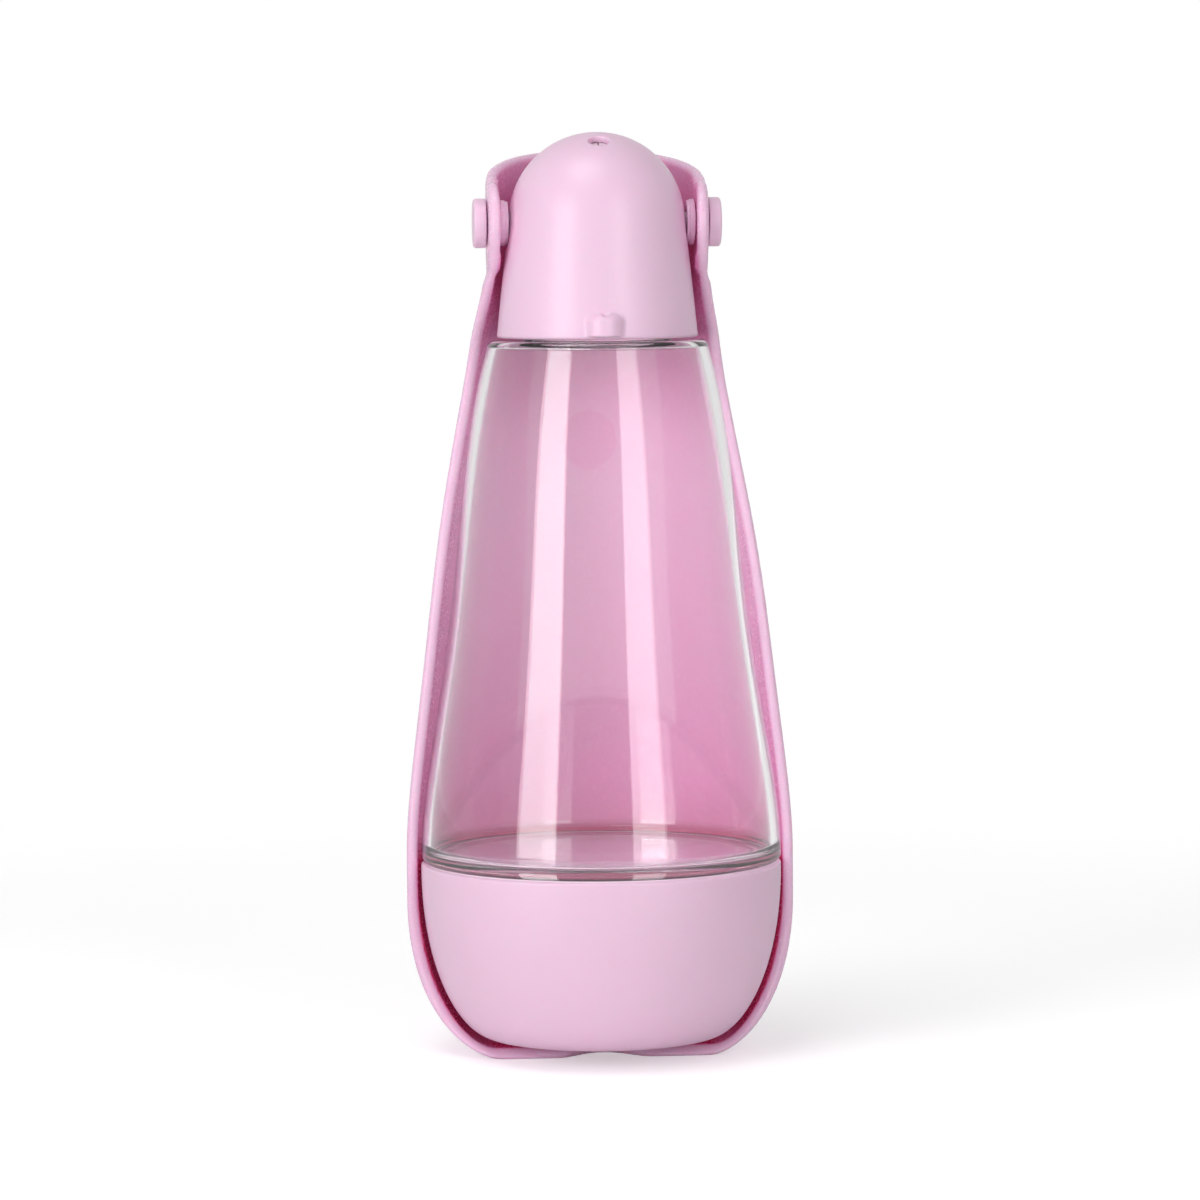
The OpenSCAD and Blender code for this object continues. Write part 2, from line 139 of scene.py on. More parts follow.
def lathe(name, profile, segments=192):
    # turns an outline round Z: a closed loop, or a path with both ends on the axis
    angles = np.linspace(0, 2 * math.pi, segments, endpoint=False)
    cos, sin = np.cos(angles), np.sin(angles)
    vertices, rings = [], []
    for r, z in profile:
        start = len(vertices)
        if r < 1e-6:
            vertices.append((0, 0, z))
            rings.append([start] * segments)
        else:
            vertices.extend(zip(r * cos, r * sin, [z] * segments))
            rings.append(list(range(start, start + segments)))
    touchesAxis = profile[0][0] < 1e-6
    pairs = list(zip(rings, rings[1:]))
    if not touchesAxis:
        pairs.append((rings[-1], rings[0]))
    faces = []
    for a, b in pairs:
        for i in range(segments):
            k = (i + 1) % segments
            corners = list(dict.fromkeys([a[i], a[k], b[k], b[i]]))
            if len(corners) > 2:
                faces.append(corners)
    return newObject(name, vertices, faces)


def evaluated(obj):
    # bakes the modifiers into the mesh
    graph = bpy.context.evaluated_depsgraph_get()
    mesh = bpy.data.meshes.new_from_object(obj.evaluated_get(graph))
    old = obj.data
    obj.modifiers.clear()
    obj.data = mesh
    bpy.data.meshes.remove(old)
    return obj


def united(obj, others):
    # one closed solid of several
    for other in others:
        modifier = obj.modifiers.new("join", "BOOLEAN")
        modifier.operation = "UNION"
        modifier.solver = "EXACT"
        modifier.object = other
    evaluated(obj)
    for other in others:
        bpy.data.objects.remove(other)
    return obj


def smooth(obj, sharpAngle=38):
    # smooth shading with crisp edges where faces meet at more than the angle
    mesh = obj.data
    mesh.polygons.foreach_set("use_smooth", [True] * len(mesh.polygons))
    mesh.set_sharp_from_angle(angle=math.radians(sharpAngle))
    modifier = obj.modifiers.new("weighted normals", "WEIGHTED_NORMAL")
    modifier.keep_sharp = True
    modifier.weight = 100
    return obj


def alignedToPivot(obj, side):
    # a piece turned about Z is laid along the swing's axis, outwards to one side
    turn = Matrix.Rotation(side * math.pi / 2, 4, "Y")
    obj.data.transform(Matrix.Translation((0, 0, pivotZ * mm)) @ turn)
    return obj


def placed(obj, node, body):
    # stands for the CAD node and moves with its body
    obj.name = obj.data.name = node.replace("_", "-")
    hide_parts(node)
    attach(obj, body)
    return obj


locks = {      # the twist locks of the cap and of the food cup
    "count": 3, "span": 46, "out": 1.4, "tip": 1.4, "root": 2.4, "sunk": 0.5,
    "turn": 60, "travel": 0.9, "play": 0.15, "gap": 0.3, "edge": 0.25, "steps": 20,
}
lugLead = locks["travel"] * 360 / locks["turn"]
lugRise = lugLead * locks["span"] / 360
lugSlope = (locks["root"] - locks["tip"]) / locks["out"]
lugStep = (locks["tip"] + locks["root"] + lugSlope * locks["gap"]) / 2      # from one to its mate


def lugs(wall, outwards, midZ):
    # tapered ridges that climb along the lock's lead
    way = 1 if outwards else -1
    rootHeight = locks["root"] + lugSlope * locks["sunk"]
    base, tip = wall - way * locks["sunk"], wall + way * locks["out"]
    corners = [
        (base, -rootHeight / 2), (tip, -locks["tip"] / 2),
        (tip, locks["tip"] / 2), (base, rootHeight / 2),
    ]
    section = rounded(corners, [0, locks["edge"], locks["edge"], 0], 4)
    steps, ring = locks["steps"], len(section)
    faces = []
    for i in range(steps):
        for k in range(ring):
            here, there, follow = i * ring, (i + 1) * ring, (k + 1) % ring
            faces.append((here + k, there + k, there + follow, here + follow))
    faces += [tuple(range(ring)), tuple(range(steps * ring, (steps + 1) * ring))[::-1]]
    found = []
    for n in range(locks["count"]):
        vertices = []
        for i in range(steps + 1):
            a = math.radians(locks["span"] * (i / steps - 0.5))
            turn = a + 2 * math.pi * n / locks["count"]
            climb = midZ + lugLead * a / (2 * math.pi)
            vertices += [(r * math.cos(turn), r * math.sin(turn), climb + z) for r, z in section]
        found.append(recalculate(newObject("lug", vertices, faces)))
    return found


def recalculate(obj):
    # turns all faces outwards
    work = bmesh.new()
    work.from_mesh(obj.data)
    bmesh.ops.recalc_face_normals(work, faces=work.faces)
    work.to_mesh(obj.data)
    work.free()
    return obj


class Field:
    # a distance at many points at once, with its slope in x, y and z
    def __init__(self, value, slope):
        self.value, self.slope = value, slope

    def __add__(self, other):
        if isinstance(other, Field):
            return Field(self.value + other.value, self.slope + other.slope)
        return Field(self.value + other, self.slope)

    def __neg__(self):
        return Field(-self.value, -self.slope)

    def __sub__(self, other):
        return self + (-other)

    def times(self, factor):
        return Field(self.value * factor, self.slope * factor)


def larger(a, b, blend=1e-4):
    # the larger of two, which cuts one shape with the other, rounded off where they meet
    share = np.clip(0.5 + 0.5 * (a.value - b.value) / blend, 0, 1)
    value = b.value + (a.value - b.value) * share + blend * share * (1 - share)
    return Field(value, a.slope * share[:, None] + b.slope * (1 - share)[:, None])


def smaller(a, b, blend=1e-4):
    # the smaller of two, which joins the shapes, with a fillet where they meet
    return -larger(-a, -b, blend)


def above(a, floor=0.0):
    # held at the floor where it would fall below it
    keep = a.value > floor
    return Field(np.where(keep, a.value, floor), a.slope * keep[:, None])


def size(*parts):
    # the length of a vector with these parts
    length = np.sqrt(sum(p.value ** 2 for p in parts)) + 1e-9
    return Field(length, sum(p.slope * (p.value / length)[:, None] for p in parts))


def roundedCorner(a, b, radius):
    # where a and b both end, with a round edge between them
    corner = size(above(a + radius), above(b + radius)) - radius
    inside = larger(a, b)
    useCorner = (a.value > -radius) & (b.value > -radius)
    return Field(
        np.where(useCorner, corner.value, inside.value),
        np.where(useCorner[:, None], corner.slope, inside.slope))


def fromLine(line, u, v):
    # signed distance of (u, v) from a curve through many points, positive on its right side
    start, step = line[:-1], np.diff(line, axis=0)
    length = np.linalg.norm(step, axis=1)
    normal = np.column_stack([step[:, 1], -step[:, 0]]) / length[:, None]
    corner = np.vstack([normal[:1], normal[:-1] + normal[1:], normal[-1:]])
    corner /= np.linalg.norm(corner, axis=1)[:, None]
    stride, batch = 8, 8192      # a rough search first, and points in batches to save memory
    rough = line[::stride]
    near = np.arange(-stride, stride + 1)
    values, slopes = np.empty(len(u.value)), np.empty((len(u.value), 2))
    for first in range(0, len(u.value), batch):
        part = slice(first, first + batch)
        p = np.column_stack([u.value[part], v.value[part]])
        far = (p[:, :1] - rough[:, 0]) ** 2 + (p[:, 1:] - rough[:, 1]) ** 2
        at = stride * np.argmin(far, axis=1)
        at = np.clip(at[:, None] + near, 0, len(step) - 1)
        away = p[:, None, :] - start[at]
        along = step[at]
        t = np.clip((away * along).sum(2) / length[at] ** 2, 0, 1)
        gap = away - t[..., None] * along
        best = np.argmin((gap ** 2).sum(2), axis=1)
        row = np.arange(len(p))
        t, gap, at = t[row, best][:, None], gap[row, best], at[row, best]
        n = corner[at] * (1 - t) + corner[at + 1] * t
        n /= np.linalg.norm(n, axis=1)[:, None]
        values[part] = np.sign((gap * n).sum(1)) * np.linalg.norm(gap, axis=1)
        slopes[part] = n
    return Field(values, u.slope * slopes[:, :1] + v.slope * slopes[:, 1:])


def shaped(node, shape, voxel, depth=None, rounds=4):
    # remeshes the CAD solid evenly and lays every point on the exact surface
    source = frame["nodes"][node]
    obj = bpy.data.objects.new(node, source.data.copy())
    bpy.context.scene.collection.objects.link(obj)
    modifier = obj.modifiers.new("even mesh", "REMESH")
    modifier.mode = "VOXEL"
    modifier.voxel_size = voxel * mm
    evaluated(obj)
    mesh = obj.data
    count = len(mesh.vertices)
    points = np.empty(count * 3)
    mesh.vertices.foreach_get("co", points)
    points = points.reshape(-1, 3) / mm
    edges = np.empty(len(mesh.edges) * 2, np.int64)
    mesh.edges.foreach_get("vertices", edges)
    edges = edges.reshape(-1, 2)
    links = np.bincount(edges.ravel(), minlength=count)[:, None]
    for turn in range(rounds):
        for pull in range(2):      # draws points onto the surface, one voxel at most
            field = shape(points)
            grade = (field.slope ** 2).sum(1) + 1e-9
            move = field.slope * (field.value / grade)[:, None]
            reach = np.linalg.norm(move, axis=1)[:, None] + 1e-9
            points = points - move * np.minimum(1, voxel / reach)
        if turn < rounds - 1:      # slides them towards the middle of their neighbours
            total = np.column_stack([
                np.bincount(edges[:, 0], points[edges[:, 1], k], count)
                + np.bincount(edges[:, 1], points[edges[:, 0], k], count)
                for k in range(3)
            ])
            points = points + 0.5 * (total / links - points)
    field = shape(points)
    normals = field.slope / np.linalg.norm(field.slope, axis=1)[:, None]
    mesh.vertices.foreach_set("co", (points * mm).ravel())
    mesh.polygons.foreach_set("use_smooth", [True] * len(mesh.polygons))
    mesh.update()
    mesh.normals_split_custom_set_from_vertices(normals.tolist())
    # stores a painted-shade amount at each point, when a function for it is given
    if depth:
        mesh.attributes.new("depth", "FLOAT", "POINT").data.foreach_set("value", depth(points))
    off = round(float(np.abs(field.value).max()), 4)
    print(node, "shaped:", count, "points, off by at most", off, "mm")
    return obj


def axes(points):
    # the three coordinates as fields
    return [
        Field(points[:, k].copy(), np.tile(np.eye(3)[k], (len(points), 1))) for k in range(3)
    ]


def magnitude(a):
    # the distance from zero, the same on the left and on the right
    sign = np.where(a.value < 0, -1.0, 1.0)
    return Field(a.value * sign, a.slope * sign[:, None])


roughSpread = 0.08      # share by which the grain varies the roughness


def nodeMaker(tree):
    # adds nodes by kind, with a value or another node's output for each input
    def add(kind, inputs, **choices):
        node = tree.nodes.new("ShaderNode" + kind)
        for word, choice in choices.items():
            setattr(node, word, choice)
        wired(tree, node, inputs)
        return node
    return add


def wired(tree, node, inputs):
    # gives each input its value, or a link from another node's output
    for key, value in inputs.items():
        if isinstance(value, bpy.types.NodeSocket):
            tree.links.new(value, node.inputs[key])
        else:
            node.inputs[key].default_value = value


def material(name, settings):
    # one procedural finish: a faint mottle in the colour and the grain of the mould
    made = bpy.data.materials.new(name)
    made.use_nodes = True
    tree = made.node_tree
    add = nodeMaker(tree)
    shader = tree.nodes["Principled BSDF"]
    place = add("TexCoord", {}).outputs["Object"]
    mottle = add("TexNoise", {"Vector": place, "Scale": settings["mottleScale"], "Detail": 3})
    dull, bright = 1 - settings["mottle"], 1 + settings["mottle"]
    shown = add("Mix", {
        "Factor": mottle.outputs["Fac"],
        "A": (*[c * dull for c in settings["colour"]], 1),
        "B": (*[min(1, c * bright) for c in settings["colour"]], 1),
    }, data_type="RGBA").outputs["Result"]
    if "deep" in settings:      # painted shade: where the attribute is high, the colour is painted darker and redder, standing in for light bounced about inside
        where = add("Attribute", {}, attribute_name="depth").outputs["Fac"]
        for word, start in (("inner", 0.0), ("deep", 0.5)):
            share = add("MapRange", {"Value": where, "From Min": start, "From Max": start + 0.5})
            shown = add("Mix", {
                "Factor": share.outputs["Result"], "A": shown, "B": (*settings[word], 1),
            }, data_type="RGBA").outputs["Result"]
        # and a painted glow: emission standing in for light that comes in through the wall
        glow = add("Math", {0: where, 1: settings["glow"]}, operation="MULTIPLY")
        wired(tree, shader, {
            "Emission Strength": glow.outputs["Value"],
            "Emission Color": (*settings["glowColour"], 1),
        })
    grain = add("TexNoise", {"Vector": place, "Scale": settings["grainScale"], "Detail": 2})
    grain = grain.outputs["Fac"]
    even = settings["roughness"]
    rough = add("MapRange", {
        "Value": grain, "To Min": even * (1 - roughSpread), "To Max": even * (1 + roughSpread),
    })
    bump = add("Bump", {
        "Height": grain, "Strength": settings["grain"], "Distance": settings["grainDepth"] * mm,
    })
    wired(tree, shader, {
        "Base Color": shown, "Roughness": rough.outputs["Result"],
        "Normal": bump.outputs["Normal"],
        "IOR": settings["ior"], "Specular IOR Level": settings["specular"],
    })
    if "scatter" in settings:
        wired(tree, shader, {
            "Subsurface Weight": settings["scatter"],
            "Subsurface Radius": settings["scatterReach"],
            "Subsurface Scale": settings["scatterScale"] * mm,
        })
    if "transmission" in settings:
        shader.inputs["Transmission Weight"].default_value = settings["transmission"]
    if "shadowTint" in settings:      # lets lamps shine into what is clear
        clear = add("BsdfTransparent", {"Color": (*settings["shadowTint"], 1)})
        ray = add("LightPath", {})
        mix = add("MixShader", {
            "Fac": ray.outputs["Is Shadow Ray"],
            1: shader.outputs["BSDF"], 2: clear.outputs["BSDF"],
        })
        tree.links.new(mix.outputs["Shader"], tree.nodes["Material Output"].inputs["Surface"])
    return made


finishes = {
    "satinPink": {
        "colour": (0.83, 0.57, 0.735), "mottle": 0.012, "mottleScale": 60, "roughness": 0.34,
        "grainScale": 2600, "grain": 0.06, "grainDepth": 0.05, "ior": 1.5, "specular": 0.5,
        "scatter": 0.25, "scatterReach": (1.0, 0.35, 0.55), "scatterScale": 1.6,
    },
    "glossPink": {
        # inner and deep are painted shade colours for the trough's inside; glow is a painted glow,
        # emission that is no lamp
        "colour": (0.84, 0.55, 0.73), "inner": (0.79, 0.325, 0.57), "deep": (0.50, 0.02, 0.10),
        "glow": 0.06, "glowColour": (1.0, 0.08, 0.3),
        "mottle": 0.012, "mottleScale": 50, "roughness": 0.27,
        "grainScale": 1800, "grain": 0.03, "grainDepth": 0.04, "ior": 1.5, "specular": 0.5,
        "scatter": 0.35, "scatterReach": (1.0, 0.3, 0.5), "scatterScale": 2.5,
    },
    "clear": {
        "colour": (0.985, 0.982, 0.985), "mottle": 0.004, "mottleScale": 30, "roughness": 0.02,
        "grainScale": 90, "grain": 0.012, "grainDepth": 0.05, "ior": 1.5, "specular": 0.5,
        "transmission": 1.0, "shadowTint": (0.95, 0.94, 0.95),
    },
    "whitePlastic": {
        "colour": (0.86, 0.74, 0.80), "mottle": 0.01, "mottleScale": 70, "roughness": 0.45,
        "grainScale": 2400, "grain": 0.05, "grainDepth": 0.04, "ior": 1.5, "specular": 0.5,
    },
    "silicone": {
        "colour": (0.84, 0.66, 0.75), "mottle": 0.02, "mottleScale": 90, "roughness": 0.55,
        "grainScale": 3000, "grain": 0.08, "grainDepth": 0.04, "ior": 1.42, "specular": 0.4,
        "scatter": 0.5, "scatterReach": (1.0, 0.9, 0.9), "scatterScale": 1.5,
    },
}
paint = {name: material(name, settings) for name, settings in finishes.items()}


def finished(obj, name):
    obj.data.materials.clear()
    obj.data.materials.append(paint[name])
    return obj


print("materials ready")


def makeBottle():
    wall, rows, fillet = bottle["wall"], bottle["rows"], bottle["neckFillet"]
    neckTop = shoulderZ + bottle["neckHeight"]
    low, high, innerHigh = bottle["lowerEdge"], bottle["shoulderEdge"], bottle["innerShoulderEdge"]
    roofZ = shoulderZ - bottle["roof"]
    outerZ = np.linspace(jointZ + low, shoulderZ - high, rows)
    outer = np.column_stack([bottleSide(outerZ), outerZ])
    innerZ = np.linspace(roofZ - innerHigh, jointZ + bottle["innerFoot"], rows)
    inner = np.column_stack([bottleSide(innerZ) - wall, innerZ])
    neckR, edge = bottle["neckRadius"], bottle["neckEdge"]
    neckIn = neckR - bottle["neckWall"]
    profile = np.vstack([
        arc((outer[0][0] - low, jointZ + low), low, -90, 0)[:-1],
        outer,
        arc((outer[-1][0] - high, shoulderZ - high), high, 0, 90)[1:],
        arc((neckR + fillet, shoulderZ + fillet), fillet, 270, 180, 6),
        arc((neckR - edge, neckTop - edge), edge, 0, 90, 5),
        arc((neckIn + edge, neckTop - edge), edge, 90, 180, 5),
        arc((neckIn - fillet, roofZ + fillet), fillet, 0, -90, 6),
        arc((inner[0][0] - innerHigh, roofZ - innerHigh), innerHigh, 90, 0)[:-1],
        inner,
        [(bottle["radius"] - wall, jointZ)],
    ])
    obj = recalculate(lathe("bottle", profile, bottle["segments"]))
    lugZ = neckTop - bottle["lugDrop"] - locks["root"] - lugRise
    return united(obj, lugs(neckR, True, lugZ))


placed(smooth(finished(makeBottle(), "clear")), "bottle_body", "bottle")

skirt = {
    "height": 9.5, "wall": 2.0, "sealRadius": 0.85, "seat": 0.05, "edge": 0.4,
    "chamfer": 0.4, "fillet": 1.0,
}
welded = {"melt": 0.1, "thickness": 2.2, "fillet": 2.5, "flat": 4.0, "lip": 0.3, "edge": 0.3}
cupWall = 2.2
skirtRadius = bottle["radius"] - cupWall - 2 * (skirt["sealRadius"] + skirt["seat"])
skirtZ = jointZ - skirt["height"]
skirtLugZ = skirtZ + locks["sunk"] + (locks["root"] + lugRise) / 2


def makeFloor():
    rim = bottle["radius"] - bottle["wall"] + welded["melt"]      # no air is left in the weld
    top, fillet, edge = jointZ + welded["thickness"], welded["fillet"], welded["edge"]
    foot = rim - welded["lip"] - fillet
    inner, ease = skirtRadius - skirt["wall"], skirt["fillet"]
    skirtEnd = [
        (inner, jointZ - 2 * ease), (inner, skirtZ),
        (skirtRadius, skirtZ), (skirtRadius, jointZ - ease),
    ]
    profile = np.vstack([
        [(0, jointZ), (inner - ease, jointZ)],
        arc((inner - ease, jointZ - ease), ease, 90, 0, 6),
        rounded(skirtEnd, [0, skirt["edge"], skirt["edge"], 0], 5)[1:-1],
        [(skirtRadius, jointZ - skirt["chamfer"]), (skirtRadius + skirt["chamfer"], jointZ)],
        [(rim - edge, jointZ), (rim, jointZ + edge), (rim, top + fillet)],
        [(rim - welded["lip"], top + fillet)],
        arc((foot, top + fillet), fillet, 0, -90, 10),
        [(foot - welded["flat"], top), (0, top)],
    ])
    obj = recalculate(lathe("floor", profile, bottle["segments"]))
    return united(obj, lugs(skirtRadius, True, skirtLugZ))


placed(smooth(finished(makeFloor(), "clear")), "bottle_floor", "bottle")
print("bottle ready")


cup = {
    "radius": 43.4, "footRadius": 27.0, "footEase": 6.5, "rise": 14.5,
    "rimEdge": 0.6, "innerRimEdge": 0.3, "gap": 0.3, "segments": 256,
}
cupFootZ = boxOf("food_cup")[0].z


def cupSection(inset):
    # the cup's side from its foot to its rim, inset from its outside
    return curve([
        (cup["footRadius"] - inset / 2, cupFootZ + inset),
        (cup["footRadius"] + cup["footEase"] - inset / 2, cupFootZ + inset),
        (cup["radius"] - inset, cupFootZ + cup["rise"] + inset / 2),
        (cup["radius"] - inset, jointZ - 2 * cup["rimEdge"] - cup["gap"]),
    ], 60)


def makeCup():
    rimZ, edge, innerEdge = jointZ - cup["gap"], cup["rimEdge"], cup["innerRimEdge"]
    inner = cup["radius"] - cupWall
    profile = np.vstack([
        [(0, cupFootZ), (cup["footRadius"] / 2, cupFootZ)],
        cupSection(0),
        arc((cup["radius"] - edge, rimZ - edge), edge, 0, 90, 8),
        arc((inner + innerEdge, rimZ - innerEdge), innerEdge, 90, 180, 5),
        cupSection(cupWall)[::-1],
        [(cup["footRadius"] / 2, cupFootZ + cupWall), (0, cupFootZ + cupWall)],
    ])
    obj = recalculate(lathe("cup", profile, cup["segments"]))
    return united(obj, lugs(inner, False, skirtLugZ + lugStep + locks["play"]))


placed(smooth(finished(makeCup(), "satinPink")), "food_cup", "cup")
print("food cup ready")


cap = {
    "domeRadius": 21.1, "draft": 6, "wall": 1.8, "lowerEdge": 0.7,
    "nubRadius": 4.8, "nubHeight": 5.3, "nubOut": 2.4, "nubEdge": 2.0, "nubFoot": 0.3,
    "nubGroove": 0.5, "grooveEase": 0.8, "nubFillet": 0.7,
    "outletRadius": 2.3, "outletChamfer": 0.5, "outletEase": 0.5, "outletTilt": 25,
    "valveRadius": 4.5, "valveDepth": 2.8, "bossWall": 1.6, "bossFillet": 0.8,
    "innerEase": 0.3, "cutEase": 0.25, "seat": 0.05, "voxel": 0.5,
}
pivot = {
    "washerIn": 21.4, "earIn": 23.4, "earOut": 26.6, "washerRadius": 5.5, "spot": 0.3,
    "shankRadius": 2.4, "shankLength": 7.0, "journalRadius": 3.0, "run": 0.05, "seat": 0.05,
    "headRadius": 5.9, "headThickness": 3.0, "washerNeck": 0.3, "washerStep": 0.7,
    # one for each corner of the outline, from the axis outwards
    "pinEdges": [0, 0.5, 0, 0.2, 0, 0.35, 0.7, 0],
    "washerEdges": [0.15, 0.2, 0.08, 0.15, 0.25, 0.15], "segments": 96,
}
domeZ = capTop - cap["domeRadius"]


def capSide(z):
    # radius of the cap's outside below its dome
    draft = math.radians(cap["draft"])
    r = cap["domeRadius"]
    return r * math.cos(draft) + (domeZ + r * math.sin(draft) - z) * math.tan(draft)


def capShape(points):
    x, y, z = axes(points)
    low = capBottom - 2 * past
    line = np.vstack([
        [(capSide(low), low)],
        arc((0, domeZ), cap["domeRadius"], cap["draft"], 90, 60),
        [(-past, capTop)],
    ])
    side = fromLine(line, size(x, y), z)
    shell = roundedCorner(side, -z + capBottom, cap["lowerEdge"])

    nubZ = capBottom + cap["lowerEdge"]
    nubTop = nubZ + cap["nubHeight"]
    nubY = -(capSide(nubZ + cap["nubHeight"] / 2) + cap["nubOut"] - cap["nubRadius"])
    nub = roundedCorner(size(x, y - nubY) - cap["nubRadius"], z - nubTop, cap["nubEdge"])
    nub = roundedCorner(nub, -z + nubZ, cap["nubFoot"])
    nub = larger(nub, -(size(x, z - nubTop) - cap["nubGroove"]), cap["grooveEase"])
    shell = smaller(shell, nub, cap["nubFillet"])

    tilt = math.radians(cap["outletTilt"])
    along = y.times(-math.sin(tilt)) + (z - domeZ).times(math.cos(tilt))
    across = size(x, y.times(math.cos(tilt)) + (z - domeZ).times(math.sin(tilt)))
    valveTop = cap["domeRadius"] - cap["wall"] - cap["seat"]
    feedTop = valveTop - cap["valveDepth"] - cap["seat"]
    seatRadius = cap["valveRadius"] + cap["seat"]
    boss = larger(across - (seatRadius + cap["bossWall"]), -along + (feedTop - cap["bossWall"]))
    outwards = magnitude(x)
    fromPivot = size(y, z - pivotZ)
    shankEnd = pivot["washerIn"] - pivot["shankLength"]
    pinBoss = larger(fromPivot - (pivot["shankRadius"] + cap["bossWall"]),
                     -outwards + (shankEnd - cap["bossWall"]))
    cavity = larger(side + cap["wall"], -smaller(boss, pinBoss), cap["bossFillet"])
    shell = larger(shell, -cavity, cap["innerEase"])

    bore = larger(across - cap["outletRadius"], -along)
    lipReach = cap["domeRadius"] - cap["outletChamfer"] - cap["outletRadius"]
    lip = (across - along + lipReach).times(math.sqrt(0.5))
    seat = larger(larger(across - seatRadius, along - (valveTop + cap["seat"])), -along)
    cut = smaller(smaller(bore, larger(lip, -along), cap["outletEase"]), seat)
    spot = larger(fromPivot - (pivot["washerRadius"] + pivot["spot"]),
                  -outwards + (pivot["washerIn"] - pivot["seat"]))
    shank = larger(fromPivot - pivot["shankRadius"], -outwards + (shankEnd - pivot["seat"]))
    cut = smaller(cut, smaller(spot, shank))
    return larger(shell, -cut, cap["cutEase"])


capShell = finished(shaped("cap_shell", capShape, cap["voxel"]), "satinPink")
placed(capShell, "cap_shell", "cap")
print("cap ready")


def makePin(side):
    start = pivot["washerIn"] - pivot["shankLength"]
    step = pivot["washerIn"] + pivot["seat"]
    shank, journal, head = pivot["shankRadius"], pivot["journalRadius"], pivot["headRadius"]
    headIn = pivot["earOut"] + pivot["seat"]
    headOut = headIn + pivot["headThickness"]
    corners = [
        (0, start), (shank, start), (shank, step), (journal, step),
        (journal, headIn), (head, headIn), (head, headOut), (0, headOut),
    ]
    profile = rounded(corners, pivot["pinEdges"], 7)
    return alignedToPivot(recalculate(lathe("pin", profile, pivot["segments"])), side)


def makeWasher(side):
    inner, outer = pivot["journalRadius"] + pivot["seat"], pivot["washerRadius"]
    low, high = pivot["washerIn"], pivot["earIn"] - pivot["seat"]
    neck, step = outer - pivot["washerNeck"], low + pivot["washerStep"]
    corners = [(inner, low), (neck, low), (neck, step), (outer, step), (outer, high), (inner, high)]
    profile = rounded(corners, pivot["washerEdges"], 5)
    return alignedToPivot(recalculate(lathe("washer", profile, pivot["segments"])), side)


for word, side in (("left", -1), ("right", 1)):
    pin = smooth(finished(makePin(side), "satinPink"))
    placed(pin, "pivot_pin_" + word, "cap")
    washer = smooth(finished(makeWasher(side), "glossPink"))
    placed(washer, "pivot_washer_" + word, "cap")
print("pivots ready")


trough = {
    "wall": 2.7, "gap": 0.8, "belly": 1.5, "flare": 1.2,
    "footThickness": 2.6, "footRadius": 26.0, "footEase": 7.0, "footRise": 11.0, "footTop": 0.8,
    "hugRise": 16.0, "hugTop": 0.9, "footFront": 9.5, "notchDepth": 8.0, "notchHalf": 12.0,
    "notchOver": 1.5, "notchEase": 1.0,
    "rimSide": 1.0, "rimBack": 8.5, "rimUp": 2.0, "rimDrop": 1.5,
    "rimTurns": (0.4, 0.6, 0.7),  # shares of the bottle's height where the rim leans back
    "throat": 14.0, "throatTop": 0.8, "throatLean": 1.7,
    "hoodGap": 1.0, "hoodUp": 17.8, "hoodBend": 1.5,
    "earRadius": 9.6, "earReach": 2.0, "earDrop": 0.75, "earLean": 35,
    "earEdge": 1.0, "earFillet": 1.5,
    "faceEase": 2.5, "faceFillet": 1.6, "insideEase": 1.5, "insideFillet": 1.2, "holeEase": 0.3,
    # the round mark is given painted shade: its share and the softness of its edge are set here
    "markRadius": 7.5, "markDepth": 0.4, "markUp": 100.0, "markSoft": 0.8, "markShare": 0.12,
    "markTintSoft": 0.6, "voxel": 0.75,
    # painted shade on the inside at some heights, from the foot to the hood
    "depthHeights": [20, 46, 52, 63, 87, 110, 134, 150, 165, 178, 186, 202, 212],
    "depthShares": [1, 1, 0.6, 0.5, 0.34, 0.28, 0.21, 0.28, 0.44, 0.42, 0.5, 0.5, 0.34],
    "depthStart": 0.95, "depthSpread": 0.35,
}
troughRadius = bottle["radius"] + trough["gap"] + trough["wall"]
hoodRadius = capSide(pivotZ - trough["hoodUp"]) + trough["hoodGap"] + trough["wall"]
hoodTop = pivotZ + trough["hoodUp"]
earBase = pivotZ - trough["earDrop"] * trough["earRadius"]


def troughSection(inset):
    # the trough's wall in section, inset from its outside, from below the foot to above the hood
    share = inset / trough["wall"]
    thick, insideR = trough["footThickness"], troughRadius - trough["wall"]
    foot = np.array([
        (trough["footRadius"], 0), (trough["footRadius"] + trough["footEase"], 0),
        (troughRadius, trough["footRise"]), (troughRadius, trough["footTop"] * jointZ)
    ])
    hug = np.array([
        (cup["footRadius"], thick), (cup["footRadius"] + cup["footEase"] + trough["gap"], thick),
        (insideR, thick + trough["hugRise"]), (insideR, trough["hugTop"] * jointZ)
    ])
    t = np.linspace(0, 1, 101)[:-1]
    space = trough["gap"] + trough["belly"] * np.sin(np.pi * t) ** 2 + trough["flare"] * t ** 5
    z = jointZ + t * bottle["height"]
    throat = bottle["shoulderRadius"] + trough["gap"] + trough["flare"] + trough["wall"] - inset
    return np.vstack([
        [(-past, share * thick)],
        curve(foot * (1 - share) + hug * share, 70),
        np.column_stack([bottleSide(z) + space + trough["wall"] - inset, z]),
        curve([
            (throat, shoulderZ), (throat - trough["throatLean"], shoulderZ + trough["throat"] / 2),
            (hoodRadius - inset, shoulderZ + trough["throat"] * trough["throatTop"]),
            (hoodRadius - inset, earBase)
        ], 30),
        [(hoodRadius - inset, capTop + past)],
    ])


